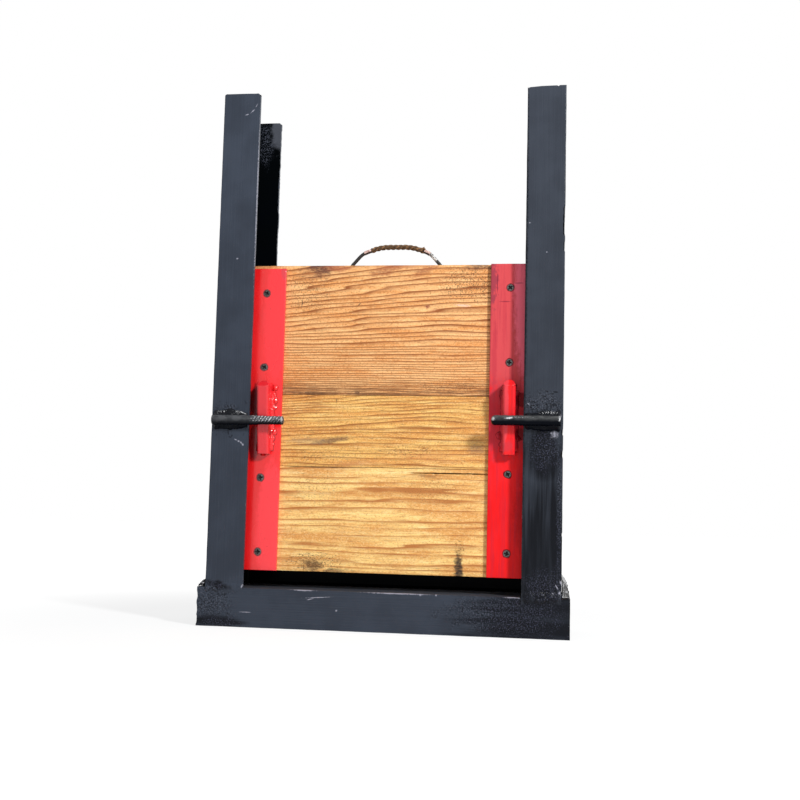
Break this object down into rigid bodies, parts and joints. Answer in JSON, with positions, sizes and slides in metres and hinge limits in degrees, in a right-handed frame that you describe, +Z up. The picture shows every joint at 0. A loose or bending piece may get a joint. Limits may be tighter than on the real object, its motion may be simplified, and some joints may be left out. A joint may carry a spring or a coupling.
{
  "type": "sluice gate",
  "caption": "Hand-lifted timber sluice gate with steel edge straps, sliding in a welded channel frame and held shut by wedges behind catch rods.",
  "frame": {"origin": "on the ground, under the middle of the object's box", "axes": "+X to the right seen from the front, +Y to the back, +Z up"},
  "size_m": [0.473, 0.133, 0.7],
  "materials": {
    "frame_paint": "gloss black brushed enamel, chipped at edges",
    "timber": "planed softwood boards, unpainted, weathered and stained",
    "gate_paint": "gloss red brushed enamel",
    "handle_steel": "bare bent wire, dark at the feet",
    "rope": "laid natural fibre rope, worn"
  },
  "bodies": {
    "frame": {"left_guide_channel": "frame_paint", "right_guide_channel": "frame_paint", "sill_channel": "frame_paint", "left_seat_bar": "frame_paint", "right_seat_bar": "frame_paint", "bottom_seat_bar": "frame_paint", "left_catch_rod": "frame_paint", "right_catch_rod": "frame_paint", "left_rod_weld": "frame_paint", "right_rod_weld": "frame_paint", "left_foot_weld": "frame_paint", "right_foot_weld": "frame_paint"},
    "gate": {"lower_board": "timber", "middle_board": "timber", "upper_board": "timber", "left_front_strap": "gate_paint", "right_front_strap": "gate_paint", "left_rear_strap": "gate_paint", "right_rear_strap": "gate_paint", "left_wedge": "gate_paint", "right_wedge": "gate_paint", "left_wedge_weld": "gate_paint", "right_wedge_weld": "gate_paint", "handle_wire": "handle_steel", "handle_rope": "rope"}
  },
  "joints": [
    {"name": "gate_lift", "type": "slide", "parent": "frame", "child": "gate", "axis": [0, 0, 1], "range_m": [0, 0.4]}
  ]
}
